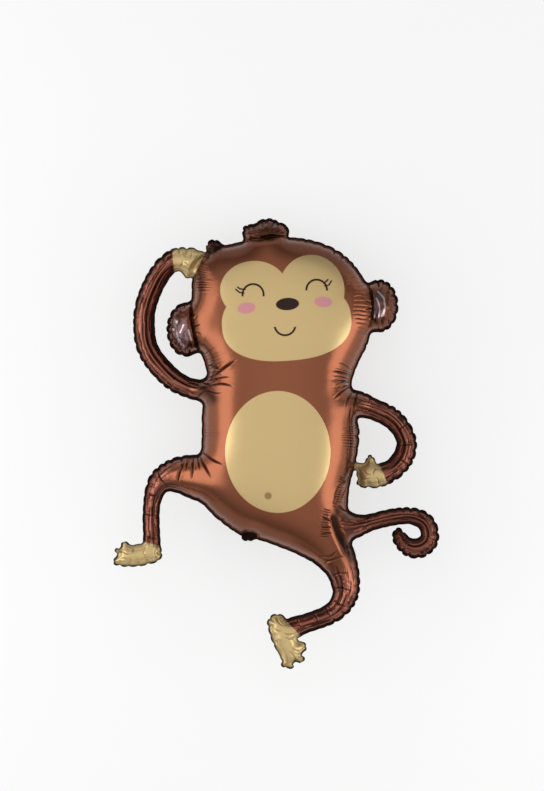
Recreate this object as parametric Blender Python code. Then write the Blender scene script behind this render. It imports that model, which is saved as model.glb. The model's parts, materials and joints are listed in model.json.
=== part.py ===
"""Monkey foil balloon, blown up and lying on its back with its face up.

A foil balloon is two sheets of film, cut to one outline and welded together along it. The solid is made the
same way: the outline is drawn flat, from a body shape and from strokes for the limbs, then the sheet inside it
is blown up to both sides of the weld. Lengths in the drawing are millimetres from the middle of the figure,
with +X to the right of the picture and +Y towards the head. The object itself is in metres.
"""

import math

import bmesh
import bpy
import numpy as np
from mathutils import Vector
from mathutils.geometry import delaunay_2d_cdt

MM = 0.001

# Sizes of the film and of the blown-up body, in millimetres. The length runs from the hair to the lower toes.
FIGURE_LENGTH = 780.0
WELD_WIDTH = 5.0
WELD_THICKNESS = 1.2
DEPTH_LIMIT = 165.0
BACK_CLEARANCE = 96.0
SCALLOP_PITCH = 21.0
SCALLOP_DEPTH = 1.5

# The belly is blown as deep as the broader head: the share added below the neck, and taken off above it.
BELLY_SHARE = 0.04
NECK_Y = 80.0
NECK_BLEND = 90.0

# Spacing of the facets, in millimetres.
GRID_STEP = 3.0
GRID_BORDER = 40.0
SPINE_STEP = 3.0
EDGE_STEP = 7.0
RING_STEP = 12.0
RING_INSETS = (8.5, 14.5)
RING_SLACK = 0.3
CREST_STEP = 8.0
CREST_ROOM = (9.0, 22.0)
LATTICE_BANDS = ((12.0, 21.0, 42.0), (21.0, 42.0, 1000.0))
CLOSEST = 3.3

# How far a stroke melts into what it joins, in millimetres.
LIMB_FILLET = 12.0
EAR_FILLET = 12.0
SMALL_FILLET = 4.0

# Head and trunk share one outline: points (x, y) clockwise from the brow on the raised hand's side.
BODY_OUTLINE = [
    (-137, 304), (-118, 323), (-92, 338), (-62, 346), (-24, 350), (16, 354), (50, 352), (84, 343),
    (112, 329), (136, 307), (155, 277), (164, 243), (165, 205), (159, 170), (146, 144), (134, 114),
    (131, 90), (136, 52), (145, 22), (142, -15), (135, -46), (128, -75), (125, -106), (121, -136),
    (111, -170), (80, -195), (42, -191), (16, -183), (-10, -173), (-36, -165), (-63, -157), (-85, -143),
    (-109, -123), (-125, -101), (-131, -72), (-130, -37), (-128, -8), (-127, 23), (-127, 49), (-123, 76),
    (-117, 101), (-119, 124), (-126, 148), (-137, 179), (-143, 214), (-144, 248), (-144, 279),
]  # fmt: skip

# Each stroke is a spine of points (x, y, half width).
LIMBS = {
    "raised_arm": [
        (-107, 91, 22), (-131, 91, 19), (-152, 96, 18), (-175, 108, 19), (-195, 127, 19), (-213, 149, 19),
        (-223, 172, 19), (-226, 198, 19), (-225, 228, 19), (-216, 258, 19), (-204, 283, 19), (-190, 303, 19),
        (-175, 315, 19),
    ],
    "hip_arm": [
        (119, 68, 22), (142, 67, 23), (166, 59, 19), (197, 45, 19), (217, 24, 18), (226, 0, 18),
        (220, -25, 19), (204, -44, 19), (187, -54, 19),
    ],
    "bent_leg": [
        (-83, -63, 45), (-123, -61, 41), (-156, -55, 34), (-180, -57, 27), (-199, -67, 21), (-209, -87, 17),
        (-213, -108, 15), (-214, -132, 15), (-213, -158, 15), (-213, -176, 16),
    ],
    "stretched_leg": [
        (73, -158, 45), (94, -181, 38), (112, -210, 30), (120, -236, 26), (121, -259, 23), (111, -280, 20),
        (93, -295, 18), (68, -305, 17), (50, -311, 17), (35, -316, 18),
    ],
    "tail": [
        (112, -140, 26), (131, -143, 23), (147, -141, 18), (166, -136, 15), (189, -130, 15), (211, -126, 15),
        (232, -125, 15), (249, -130, 16), (261, -140, 16), (266, -156, 16), (263, -170, 17), (250, -180, 18),
        (234, -181, 17), (221, -173, 15), (213, -162, 13), (211, -154, 9),
    ],
}  # fmt: skip

# Hands, feet and hair: the broad strokes, then fingers and toes.
SMALL_STROKES = {
    "raised_palm": [(-173, 315, 19), (-152, 316, 20), (-135, 316, 15), (-118, 314, 10)],
    "raised_thumb": [(-156, 307, 12), (-151, 291, 8)],
    "raised_knuckle_1": [(-166, 329, 8), (-160, 329, 8)],
    "raised_knuckle_2": [(-147, 329, 7), (-142, 329, 7)],
    "raised_knuckle_3": [(-128, 323, 7), (-124, 322, 7)],
    "hip_palm": [(185, -54, 20), (169, -58, 20), (156, -57, 14)],
    "hip_thumb": [(164, -42, 11), (163, -28, 8)],
    "hip_finger_1": [(149, -42, 8), (131, -39, 6)],
    "hip_finger_2": [(152, -56, 9), (146, -54, 7)],
    "hip_finger_3": [(155, -68, 10), (146, -69, 7)],
    "bent_sole": [(-210, -191, 17), (-235, -195, 18), (-259, -198, 18)],
    "bent_toe_1": [(-255, -185, 10), (-258, -175, 7)],
    "bent_toe_2": [(-264, -192, 9), (-269, -191, 7)],
    "bent_toe_3": [(-268, -207, 9), (-275, -210, 7)],
    "stretched_ankle": [(35, -317, 18), (17, -324, 17)],
    "stretched_sole": [(3, -311, 18), (13, -336, 20), (25, -357, 20)],
    "stretched_toe_1": [(36, -350, 11), (46, -351, 9)],
    "stretched_toe_2": [(37, -366, 10), (43, -371, 8)],
    "stretched_toe_3": [(25, -374, 8), (26, -382, 7)],
    "stretched_toe_4": [(18, -371, 9), (17, -380, 8)],
    "hair_tuft": [(-45, 364, 13), (-33, 364, 14), (-16, 372, 15), (-2, 369, 15), (10, 364, 14)],
    "hair_base": [(-38, 352, 18), (5, 357, 16)],
    "hair_curl": [(-106, 337, 14), (-95, 328, 14)],
    "valve_tab": [(-43, -141, 15), (-47, -155, 15)],
}

# Ears: middle (x, y), then half width and half height.
EARS = {
    "raised_side_ear": ((-154, 195), (34, 47)),
    "hip_side_ear": ((179, 236), (33, 46)),
}


def clear_scene():
    for thing in list(bpy.data.objects):
        bpy.data.objects.remove(thing, do_unlink=True)


def smooth_path(points, step, closed=False):
    """Points along the Catmull-Rom curve through the given ones, about a step apart."""
    knots = np.array(points, float)
    if closed:
        before, after = knots[-1:], knots[:2]
    else:
        before, after = 2 * knots[:1] - knots[1:2], 2 * knots[-1:] - knots[-2:-1]
    padded = np.vstack([before, knots, after])
    path = []
    for a, b, c, d in zip(padded, padded[1:], padded[2:], padded[3:]):
        count = max(2, math.ceil(np.hypot(*(c - b)[:2]) / step))
        for t in np.arange(count) / count:
            path.append(b + 0.5 * t * (c - a + t * (2 * a - 5 * b + 4 * c - d + t * (3 * (b - c) + d - a))))
    return np.array(path if closed else path + [knots[-1]])


def distance_to_path(points, path, closed):
    """Distance from each point to the nearest spot on the polyline."""
    starts = path[:, :2]
    ends = np.roll(starts, -1, axis=0)
    if not closed:
        starts, ends = starts[:-1], ends[:-1]
    nearest = np.full(len(points), np.inf)
    for a, b in zip(starts, ends):
        along = b - a
        share = np.clip((points - a) @ along / max(along @ along, 1e-12), 0, 1)
        nearest = np.minimum(nearest, np.hypot(*(points - a - share[:, None] * along).T))
    return nearest


def inside_path(points, path):
    """Whether each point is inside the closed polyline, by counting crossings."""
    x, y = points.T
    odd = np.zeros(len(points), bool)
    for (ax, ay), (bx, by) in zip(path, np.roll(path, -1, axis=0)):
        if ay != by:
            odd ^= ((ay > y) != (by > y)) & (x < ax + (y - ay) * (bx - ax) / (by - ay))
    return odd


def outline_field(points):
    """Signed distance to the whole figure's outline, negative inside, with fillets where shapes join."""

    def melt(first, second, fillet):
        overlap = np.maximum(fillet - np.abs(first - second), 0) / fillet
        return np.minimum(first, second) - overlap**2 * fillet / 4

    def stroke(spine):
        nearest = np.full(len(points), np.inf)
        for x, y, half_width in smooth_path(spine, SPINE_STEP):
            nearest = np.minimum(nearest, np.hypot(points[:, 0] - x, points[:, 1] - y) - half_width)
        return nearest

    def ear(middle, half_size):
        scaled = (points - middle) / half_size
        return (np.hypot(*scaled.T) - 1) * min(half_size)

    body = smooth_path(BODY_OUTLINE, SPINE_STEP, closed=True)
    field = distance_to_path(points, body, closed=True)
    field[inside_path(points, body)] *= -1
    for middle, half_size in EARS.values():
        field = melt(field, ear(np.array(middle), np.array(half_size)), EAR_FILLET)
    for spine in LIMBS.values():
        field = melt(field, stroke(spine), LIMB_FILLET)
    for spine in SMALL_STROKES.values():
        field = melt(field, stroke(spine), SMALL_FILLET)
    return field


def trace_outline():
    """Closed loops round the figure: a grid is lifted by the field and cut where it crosses zero."""
    spines = [*LIMBS.values(), *SMALL_STROKES.values()]
    points = np.array([point[:2] for spine in spines for point in spine])
    low = points.min(axis=0) - GRID_BORDER
    high = points.max(axis=0) + GRID_BORDER
    counts = np.ceil((high - low) / GRID_STEP).astype(int)
    grid = bmesh.new()
    bmesh.ops.create_grid(grid, x_segments=counts[0], y_segments=counts[1], size=0.5)
    corners = np.array([v.co[:2] for v in grid.verts])
    corners = low + (corners + 0.5) * counts * GRID_STEP
    for vertex, corner, value in zip(grid.verts, corners, outline_field(corners)):
        vertex.co = (*corner, value)
    everything = grid.verts[:] + grid.edges[:] + grid.faces[:]
    bmesh.ops.bisect_plane(grid, geom=everything, plane_co=(0, 0, 0), plane_no=(0, 0, 1), clear_outer=True)
    following = {}
    for edge in grid.edges:
        if edge.is_boundary:
            corner = edge.link_loops[0]
            following[corner.vert] = corner.link_loop_next.vert
    loops = []
    while following:
        vertex = next(iter(following))
        loop = []
        while vertex in following:
            loop.append(vertex.co[:2])
            vertex = following.pop(vertex)
        loops.append(np.array(loop))
    grid.free()
    return loops


def evenly_spaced(loop, step):
    """The closed loop's points moved to equal spacing, about a step."""
    ring = np.vstack([loop, loop[:1]])
    travelled = np.concatenate([[0], np.cumsum(np.hypot(*np.diff(ring, axis=0).T))])
    marks = np.linspace(0, travelled[-1], max(8, round(travelled[-1] / step)), endpoint=False)
    return np.stack([np.interp(marks, travelled, ring[:, axis]) for axis in (0, 1)], axis=1)


def inward_normals(loop):
    """Unit normals of a loop that has the figure on its left."""
    tangent = np.roll(loop, -1, axis=0) - np.roll(loop, 1, axis=0)
    tangent /= np.hypot(*tangent.T)[:, None]
    return np.stack([-tangent[:, 1], tangent[:, 0]], axis=1)


def scalloped(loop):
    """The loop with the shallow waves that the weld takes when the film inside it draws in."""
    length = np.hypot(*(np.roll(loop, -1, axis=0) - loop).T)
    travelled = np.cumsum(length) - length
    waves = max(1, round(length.sum() / SCALLOP_PITCH))
    depth = SCALLOP_DEPTH * 0.5 * (1 + np.cos(2 * math.pi * waves * travelled / length.sum()))
    return loop - inward_normals(loop) * depth[:, None]


def sheet_points(loops):
    """The outline's points and the points inside it, as (edge loops, inner points).

    Inside, points follow the weld's inner edge, the crests of the limbs, rings a little further in and then a
    lattice, coarser where the film is nearly flat. A point too close to an earlier one is left out.
    """
    edges = [scalloped(evenly_spaced(loop, EDGE_STEP)) for loop in loops]

    def clearance(points):
        return np.min([distance_to_path(points, loop, closed=True) for loop in loops], axis=0)

    def rings(inset):
        for loop in loops:
            ring = evenly_spaced(loop, RING_STEP)
            ring = ring + inward_normals(ring) * inset
            yield ring[clearance(ring) > inset - RING_SLACK]

    groups = list(rings(WELD_WIDTH))
    for spine in (*LIMBS.values(), *SMALL_STROKES.values()):
        crest = smooth_path(spine, CREST_STEP)[:, :2]
        room = clearance(crest)
        groups.append(crest[(room > CREST_ROOM[0]) & (room < CREST_ROOM[1])])
    for inset in RING_INSETS:
        groups += rings(inset)
    low = np.min([loop.min(axis=0) for loop in loops], axis=0)
    high = np.max([loop.max(axis=0) for loop in loops], axis=0)
    for step, nearest, farthest in LATTICE_BANDS:
        rows = np.arange(low[1], high[1], step * math.sqrt(0.75))
        columns = np.arange(low[0], high[0], step)
        lattice = np.array([(x + (i % 2) * step / 2, y) for i, y in enumerate(rows) for x in columns])
        inside = np.sum([inside_path(lattice, loop) for loop in loops], axis=0) % 2 == 1
        lattice = lattice[inside]
        room = clearance(lattice)
        groups.append(lattice[(room > nearest) & (room < farthest)])
    kept = groups[0][:1]
    for point in np.vstack(groups):
        if np.hypot(*(kept - point).T).min() > CLOSEST:
            kept = np.vstack([kept, point])
    return edges, kept


def triangulate(edges, inner):
    """Triangles over the figure: (points, triangles)."""
    points = np.vstack([*edges, inner])
    links = []
    first = 0
    for loop in edges:
        links += [(first + i, first + (i + 1) % len(loop)) for i in range(len(loop))]
        first += len(loop)
    result = delaunay_2d_cdt([Vector(p) for p in points], links, [], 1, 1e-3)
    points = np.array([v[:] for v in result[0]])
    triangles = np.array([face for face in result[2] if len(face) == 3])
    middles = points[triangles].mean(axis=1)
    inside = np.sum([inside_path(middles, loop) for loop in edges], axis=0) % 2 == 1
    return points, triangles[inside]


def blown_up_height(points, triangles, loops):
    """How far the film stands off the weld's plane at each point.

    A membrane under pressure, with its edge held, has a constant Laplacian. The root of half its height is a half
    circle across a long tube, which is the section that a blown-up limb takes, and a shallower dome on the body.
    """
    stiffness = np.zeros((len(points), len(points)))
    load = np.zeros(len(points))
    for k in range(3):
        a, b, c = triangles[:, k], triangles[:, (k + 1) % 3], triangles[:, (k + 2) % 3]
        to_a, to_b = points[a] - points[c], points[b] - points[c]
        doubled_area = np.abs(to_a[:, 0] * to_b[:, 1] - to_a[:, 1] * to_b[:, 0])
        weight = (to_a * to_b).sum(axis=1) / doubled_area / 2
        for i, j, sign in ((a, b, -1), (b, a, -1), (a, a, 1), (b, b, 1)):
            np.add.at(stiffness, (i, j), sign * weight)
        np.add.at(load, c, 4 * doubled_area / 6)
    room = np.min([distance_to_path(points, loop, closed=True) for loop in loops], axis=0)
    free = np.flatnonzero(room > WELD_WIDTH + 1)
    height = np.zeros(len(points))
    height[free] = np.sqrt(np.maximum(np.linalg.solve(stiffness[np.ix_(free, free)], load[free]), 0) / 2)
    below_neck = np.clip((NECK_Y - points[:, 1]) / NECK_BLEND, -1, 1)
    return height / np.sqrt(1 + (height / DEPTH_LIMIT) ** 2) * (1 + BELLY_SHARE * below_neck)


def blow_up(points, triangles, height):
    """A closed mesh: the flat sheet is thickened, then its two faces are moved apart, with flats where it rests."""
    solid = bmesh.new()
    stand_off = solid.verts.layers.float.new("stand_off")
    middle = (points.min(axis=0) + points.max(axis=0)) / 2
    scale = FIGURE_LENGTH / np.ptp(points[:, 1]) * MM
    corners = []
    for (x, y), value in zip((points - middle) * scale, height * scale):
        corner = solid.verts.new((x, y, 0))
        corner[stand_off] = value
        corners.append(corner)
    for a, b, c in triangles:
        solid.faces.new((corners[a], corners[b], corners[c]))
    bmesh.ops.recalc_face_normals(solid, faces=solid.faces)
    made = bmesh.ops.extrude_face_region(solid, geom=solid.faces[:])["geom"]
    front = {thing for thing in made if isinstance(thing, bmesh.types.BMVert)}
    for vertex in solid.verts:
        side = 1 if vertex in front else -1
        level = BACK_CLEARANCE * MM + side * (WELD_THICKNESS / 2 * MM + vertex[stand_off])
        vertex.co.z = max(level, 0)
    bmesh.ops.recalc_face_normals(solid, faces=solid.faces)
    solid.verts.layers.float.remove(stand_off)
    return solid


def foil_material():
    material = bpy.data.materials.new("copper_brown_foil")
    material.use_nodes = True
    shader = material.node_tree.nodes["Principled BSDF"]
    shader.inputs["Base Color"].default_value = (0.42, 0.16, 0.10, 1)
    shader.inputs["Metallic"].default_value = 0.9
    shader.inputs["Roughness"].default_value = 0.28
    return material


def build():
    clear_scene()
    collection = bpy.data.collections.new("monkey_foil_balloon")
    bpy.context.scene.collection.children.link(collection)
    loops = trace_outline()
    edges, inner = sheet_points(loops)
    points, triangles = triangulate(edges, inner)
    solid = blow_up(points, triangles, blown_up_height(points, triangles, loops))
    mesh = bpy.data.meshes.new("foil_envelope")
    solid.to_mesh(mesh)
    solid.free()
    mesh.materials.append(foil_material())
    mesh.shade_smooth()
    mesh.set_sharp_from_angle(angle=math.radians(60))
    collection.objects.link(bpy.data.objects.new("foil_envelope", mesh))


build()
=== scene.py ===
"""Monkey foil balloon, blown up and lying on its back on a pale floor, seen from straight above.

The film is drawn flat, blown up to both sides of the weld and then crinkled. Lengths in the drawing are
millimetres from the middle of the figure, with +X to the right of the picture and +Y towards the head.
"""

import json
import math

import bmesh
import bpy
import numpy as np
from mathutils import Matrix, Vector, noise
from mathutils.geometry import delaunay_2d_cdt

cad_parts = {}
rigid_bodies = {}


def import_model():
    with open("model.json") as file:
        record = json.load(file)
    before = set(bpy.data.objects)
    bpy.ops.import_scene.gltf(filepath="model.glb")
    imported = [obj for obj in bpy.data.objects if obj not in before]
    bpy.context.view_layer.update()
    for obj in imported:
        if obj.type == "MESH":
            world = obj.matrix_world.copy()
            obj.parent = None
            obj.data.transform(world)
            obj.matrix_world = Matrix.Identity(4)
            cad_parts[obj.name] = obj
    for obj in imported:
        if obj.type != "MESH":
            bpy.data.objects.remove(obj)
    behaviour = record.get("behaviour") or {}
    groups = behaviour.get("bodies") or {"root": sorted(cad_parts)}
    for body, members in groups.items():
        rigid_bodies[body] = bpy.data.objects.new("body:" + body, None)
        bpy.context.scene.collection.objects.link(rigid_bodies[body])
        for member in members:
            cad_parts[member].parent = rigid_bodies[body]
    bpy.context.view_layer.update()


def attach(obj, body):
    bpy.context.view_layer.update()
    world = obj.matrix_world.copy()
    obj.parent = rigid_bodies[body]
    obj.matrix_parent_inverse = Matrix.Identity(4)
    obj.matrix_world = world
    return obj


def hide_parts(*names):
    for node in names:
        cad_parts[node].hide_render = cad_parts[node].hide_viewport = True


MM = 0.001

# Sizes of the film and of the blown-up body, in millimetres. Below the neck it is a little fuller.
FIGURE_LENGTH = 780.0
WELD_WIDTH = 5.0
WELD_THICKNESS = 1.0
BACK_CLEARANCE = 96.0
DEPTH_LIMIT = 165.0
NECK_Y = 80.0
NECK_BLEND = 90.0
BELLY_SHARE = 0.04

# A film's height is solved under this pressure, which makes a long strip swell to a round tube.
PRESSURE = 4.0
SOLVED_SHARE = 1e-10

# Spacing of the facets, in millimetres.
GRID_STEP = 2.5
GRID_BORDER = 40.0
SPINE_STEP = 3.0
EDGE_STEP = 2.4
RING_INSETS = (2.4, WELD_WIDTH, 6.4, 8.2, 10.4, 13.0, 16.0)
RING_SLACK = 0.2
LATTICE_STEP = 3.7
LATTICE_MARGIN = 18.6
MERGE_DISTANCE = 0.001

# Points along a crease: their step, how far they lie to each side, the cell that holds one, the room round.
CREASE_STEP = 2.2
CREASE_OFFSETS = (0.0, 0.9, -0.9, 2.1, -2.1, 4.0, -4.0)
CREASE_GRID = 0.8
CREASE_ROOM = 1.5

# A crease's cut as shares of the depth and half width given for it, and the share of that width painted dark
# as shade.
CREASE_DEPTH = 0.72
CREASE_WIDTH = 0.41
CREASE_LINE = 0.66

# The outline's turn is read over this many points each way. Its loops are set this far apart along it.
TURN_REACH = 7
LOOP_GAP = 500.0

# What repeats along the outline, in millimetres: scallops of the weld, wrinkles beside it, fine puckers, the
# weld's wave up and down, and how soon their spacing and their length wander.
SCALLOP_PITCH = 16.5
WRINKLE_PITCH = 13.0
PUCKER_PITCH = 5.2
WAVE_PITCH = 27.0
WANDER_PITCH = 37.0
LENGTH_PITCH = 23.0
WAVE_IN = 2.3
WAVE_UP = 1.3

# Where one thing passes into another: millimetres inside the body's outline, a slim limb's height, and the
# outline's turn, in radians a millimetre, where it bulges out or is hollow.
BODY_BLEND = (-8, 12)
SLIM_HEIGHT = (18, 32)
BULGE_TURN = (0.001, 0.012)
HOLLOW_TURN = (0.002, 0.012)

# How far a stroke melts into what it joins, in millimetres.
LIMB_FILLET = 12.0
EAR_FILLET = 12.0
SMALL_FILLET = 4.0

# Head and trunk share one outline: points (x, y) clockwise from the brow on the raised hand's side.
BODY_OUTLINE = [
    (-137, 304), (-118, 323), (-92, 338), (-62, 346), (-24, 350), (16, 354), (50, 352), (84, 343),
    (112, 329), (136, 307), (155, 277), (164, 243), (165, 205), (159, 170), (146, 144), (134, 114),
    (131, 90), (136, 52), (145, 22), (142, -15), (135, -46), (128, -75), (125, -106), (121, -136),
    (111, -170), (80, -195), (42, -191), (16, -183), (-10, -173), (-36, -165), (-63, -157), (-85, -143),
    (-109, -123), (-125, -101), (-131, -72), (-130, -37), (-128, -8), (-127, 23), (-127, 49), (-123, 76),
    (-117, 101), (-119, 124), (-126, 148), (-137, 179), (-143, 214), (-144, 248), (-144, 279),
]

# Each stroke is a spine of points (x, y, half width).
LIMBS = {
    "raised_arm": [
        (-107, 91, 22), (-131, 91, 19), (-152, 96, 18), (-175, 108, 19), (-195, 127, 19), (-213, 149, 19),
        (-223, 172, 19), (-226, 198, 19), (-225, 228, 19), (-216, 258, 19), (-204, 283, 19), (-190, 303, 19),
        (-175, 315, 19),
    ],
    "hip_arm": [
        (119, 68, 22), (142, 67, 23), (166, 59, 19), (197, 45, 19), (217, 24, 18), (226, 0, 18),
        (220, -25, 19), (204, -44, 19), (187, -54, 19),
    ],
    "bent_leg": [
        (-83, -63, 45), (-123, -61, 41), (-156, -55, 34), (-180, -57, 27), (-199, -67, 21), (-209, -87, 17),
        (-213, -108, 15), (-214, -132, 15), (-213, -158, 15), (-213, -176, 16),
    ],
    "stretched_leg": [
        (73, -158, 45), (94, -181, 38), (112, -210, 30), (120, -236, 26), (121, -259, 23), (111, -280, 20),
        (93, -295, 18), (68, -305, 17), (50, -311, 17), (35, -316, 18),
    ],
    "tail": [
        (112, -140, 26), (131, -143, 23), (147, -141, 18), (166, -136, 15), (189, -130, 15), (211, -126, 15),
        (232, -125, 15), (249, -130, 16), (261, -140, 16), (266, -156, 16), (263, -170, 17), (250, -180, 18),
        (234, -181, 17), (221, -173, 15), (213, -162, 13), (211, -154, 9),
    ],
}

# Hands, feet and hair: the broad strokes, then fingers and toes.
SMALL_STROKES = {
    "raised_palm": [(-173, 315, 19), (-152, 316, 20), (-135, 316, 15), (-118, 314, 10)],
    "raised_thumb": [(-156, 307, 12), (-151, 291, 8)],
    "raised_knuckle_1": [(-166, 329, 8), (-160, 329, 8)],
    "raised_knuckle_2": [(-147, 329, 7), (-142, 329, 7)],
    "raised_knuckle_3": [(-128, 323, 7), (-124, 322, 7)],
    "hip_palm": [(185, -54, 20), (169, -58, 20), (156, -57, 14)],
    "hip_thumb": [(164, -42, 11), (163, -28, 8)],
    "hip_finger_1": [(149, -42, 8), (131, -39, 6)],
    "hip_finger_2": [(152, -56, 9), (146, -54, 7)],
    "hip_finger_3": [(155, -68, 10), (146, -69, 7)],
    "bent_sole": [(-211, -190, 17), (-235, -193, 19.5), (-256, -196, 17.5)],
    "bent_toe_1": [(-256, -182, 9.5), (-259.5, -174.5, 6.5)],
    "bent_toe_2": [(-263, -190, 9), (-270.5, -185.5, 6.5)],
    "bent_toe_3": [(-265, -203, 9), (-273.5, -204, 7)],
    "stretched_ankle": [(35, -317, 18), (17, -324, 17)],
    "stretched_sole": [(3, -311, 18), (13, -336, 20), (25, -357, 20)],
    "stretched_toe_1": [(36, -350, 11), (46, -351, 9)],
    "stretched_toe_2": [(37, -366, 10), (43, -371, 8)],
    "stretched_toe_3": [(25, -374, 8), (26, -382, 7)],
    "stretched_toe_4": [(18, -371, 9), (17, -380, 8)],
    "hair_tuft": [(-45, 364, 13), (-33, 364, 14), (-16, 372, 15), (-2, 369, 15), (10, 364, 14)],
    "hair_base": [(-38, 352, 18), (5, 357, 16)],
    "hair_curl": [(-106, 337, 14), (-95, 328, 14)],
    "valve_tab": [(-43, -141, 15), (-47, -155, 15)],
}

# Ears: middle (x, y), then half width and half height.
EARS = {
    "raised_side_ear": ((-154, 195), (34, 47)),
    "hip_side_ear": ((179, 236), (33, 46)),
}

# Where the film is drawn in beside what is joined to the body: middle (x, y), reach, share of height lost.
PINCHES = {
    "raised_side_ear": ((-143, 198), 50, 0.14),
    "hip_side_ear": ((167, 238), 48, 0.14),
    "hair_tuft": ((-18, 352), 44, 0.22),
    "hair_curl": ((-108, 326), 20, 0.4),
    "raised_hand": ((-134, 304), 26, 0.6),
    "hip_hand": ((137, -50), 26, 0.6),
}
PINCH_WIDTH = 6.5

# The tuft of hair, where the film is crumpled: middle and reach.
HAIR_MIDDLE = (-18, 364)
HAIR_REACH = (48, 26)

# Creases read from the photo: a path (x, y) from the weld inwards, the depth and the half width. Each kind
# of crease fades from its own share of its length.
CREASE_FADE = 0.5
CREASES = [
    ([(-110, 113), (-89, 128), (-63, 145)], 6.5, 4.0),
    ([(-115, 107), (-94, 112), (-74, 114)], 3.6, 2.4),
    ([(-113, 99), (-92, 102), (-70, 97)], 5.0, 3.2),
    ([(-120, 135), (-103, 131), (-93, 121)], 4.0, 3.0),
    ([(-119, 92), (-102, 86), (-89, 87)], 2.6, 2.2),
    ([(129, 117), (112, 121), (96, 125)], 4.5, 3.0),
    ([(129, 108), (114, 105), (100, 99)], 2.4, 2.0),
    ([(132, 99), (116, 90), (97, 75)], 5.5, 3.2),
    ([(133, 90), (123, 74), (120, 61)], 4.0, 3.0),
    ([(127, 128), (116, 135), (107, 138)], 2.2, 1.8),
    ([(-127, -15), (-106, -29), (-86, -37)], 5.5, 3.4),
    ([(-130, -23), (-119, -43), (-108, -61)], 5.5, 3.4),
    ([(-134, -24), (-131, -36), (-130, -47)], 3.0, 2.4),
    ([(-141, -27), (-142, -45), (-144, -64)], 4.5, 3.2),
    ([(-150, -28), (-152, -38), (-154, -50)], 3.0, 2.4),
    ([(-157, -33), (-165, -52), (-168, -75)], 5.5, 3.6),
    ([(-203, -47), (-197, -62), (-184, -76)], 4.5, 3.4),
    ([(-225, -84), (-211, -90), (-199, -92)], 4.0, 3.0),
    ([(-224, -122), (-214, -124), (-203, -123)], 2.4, 2.2),
    ([(-226, -160), (-213, -163), (-201, -161)], 3.0, 2.6),
    ([(-246, -175), (-244, -184), (-249, -192)], 3.0, 3.0),
    ([(-222, -178), (-226, -188), (-223, -199)], 3.4, 3.2),
    ([(-204, -179), (-208, -189), (-203, -199)], 3.0, 3.0),
    ([(-252, -211), (-248, -203), (-251, -196)], 3.0, 3.0),
    ([(-262, -186), (-255, -190), (-247, -188)], 3.0, 3.0),
    ([(-267, -199), (-259, -198), (-252, -201)], 3.0, 3.0),
    ([(2, -300), (8, -310), (17, -315)], 3.4, 3.2),
    ([(-3, -318), (5, -322), (15, -321)], 3.0, 3.0),
    ([(33, -334), (24, -336), (13, -332)], 3.0, 3.0),
    ([(30, -328), (21, -328), (12, -324)], 3.0, 2.8),
    ([(42, -358), (33, -355), (24, -349)], 3.4, 3.0),
    ([(36, -372), (29, -364), (22, -355)], 3.4, 3.0),
    ([(21, -379), (20, -368), (16, -358)], 3.0, 3.0),
    ([(-160, 333), (-157, 323), (-153, 316)], 3.4, 3.0),
    ([(-145, 333), (-144, 323), (-147, 314)], 3.4, 3.0),
    ([(-130, 326), (-136, 319), (-142, 317)], 3.4, 3.0),
    ([(-148, 303), (-152, 309), (-158, 312)], 3.4, 3.0),
    ([(-163, 303), (-159, 310), (-158, 320)], 3.0, 3.0),
    ([(151, -48), (157, -53), (166, -53)], 3.4, 3.0),
    ([(148, -62), (156, -62), (165, -59)], 3.4, 3.0),
    ([(172, -43), (168, -49), (168, -59)], 3.4, 3.0),
    ([(178, -72), (176, -64), (171, -58)], 3.0, 3.0),
    ([(120, -64), (107, -77), (99, -109)], 4.5, 3.0),
    ([(127, -68), (117, -86), (110, -103)], 4.5, 3.0),
    ([(96, -133), (87, -129), (76, -125)], 4.0, 2.6),
    ([(95, -143), (85, -143), (72, -143)], 2.6, 2.2),
    ([(95, -153), (86, -154), (75, -155)], 4.0, 2.6),
    ([(127, -133), (146, -137), (166, -129)], 4.0, 3.0),
    ([(131, -163), (124, -176), (121, -190)], 4.0, 3.0),
    ([(129, -120), (116, -114), (105, -103)], 4.5, 3.0),
    ([(86, -205), (101, -199), (116, -193)], 4.0, 3.0),
    ([(79, -194), (94, -194), (107, -182)], 4.0, 3.0),
    ([(94, -230), (109, -224), (127, -223)], 3.5, 2.8),
    ([(97, -250), (114, -249), (133, -256)], 3.5, 2.8),
    ([(99, -269), (109, -276), (127, -285)], 3.5, 2.8),
    ([(84, -282), (90, -291), (97, -306)], 3.0, 2.6),
    ([(66, -291), (71, -302), (71, -319)], 3.0, 2.6),
    ([(36, -300), (40, -308), (45, -323)], 3.0, 2.6),
    ([(-206, 297), (-200, 304), (-195, 310)], 3.0, 2.6),
    ([(-135, 79), (-127, 86), (-120, 91)], 4.0, 3.0),
    ([(-130, 109), (-122, 102), (-109, 99)], 4.0, 3.0),
    ([(153, 92), (164, 70), (170, 53)], 3.5, 3.0),
    ([(142, 90), (135, 66), (136, 44)], 5.0, 3.4),
    ([(231, 35), (220, 29), (207, 20)], 3.0, 2.6),
    ([(240, -1), (224, -3), (207, -3)], 3.0, 2.6),
    ([(233, -38), (220, -32), (207, -21)], 3.0, 2.6),
]

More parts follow.
